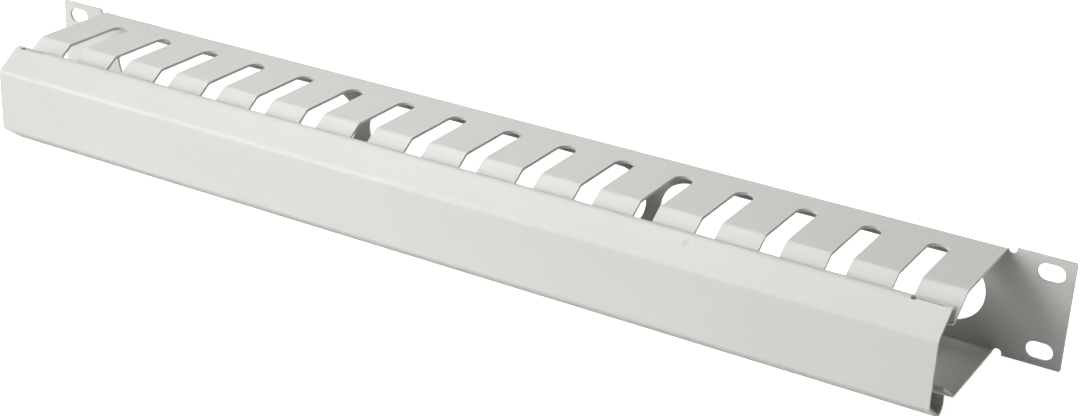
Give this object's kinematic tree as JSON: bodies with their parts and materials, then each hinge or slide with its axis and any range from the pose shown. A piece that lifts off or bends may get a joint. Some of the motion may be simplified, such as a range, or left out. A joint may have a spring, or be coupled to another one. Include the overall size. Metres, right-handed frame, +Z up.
{
  "type": "horizontal cable manager",
  "caption": "One-rack-unit cable duct: a folded tray with comb fingers, back windows and oblong ear holes, behind a clip-on folded cover with rounded beads.",
  "frame": {"origin": "centre of the rack-hole pattern, on the rear face of the panel, which lies against the rack posts", "axes": "+X to the right seen from the front, along the rack width; +Y to the rear, into the rack; +Z up"},
  "size_m": [0.4826, 0.0701, 0.044],
  "materials": {
    "powder_coat": "light grey powder coat, satin, with fine orange peel"
  },
  "bodies": {
    "tray": {"tray": "powder_coat"},
    "cover": {"cover": "powder_coat"}
  },
  "joints": [
    {"name": "cover_pull_off", "type": "slide", "parent": "tray", "child": "cover", "axis": [0, -1, 0], "range_m": [0, 0.08]}
  ]
}
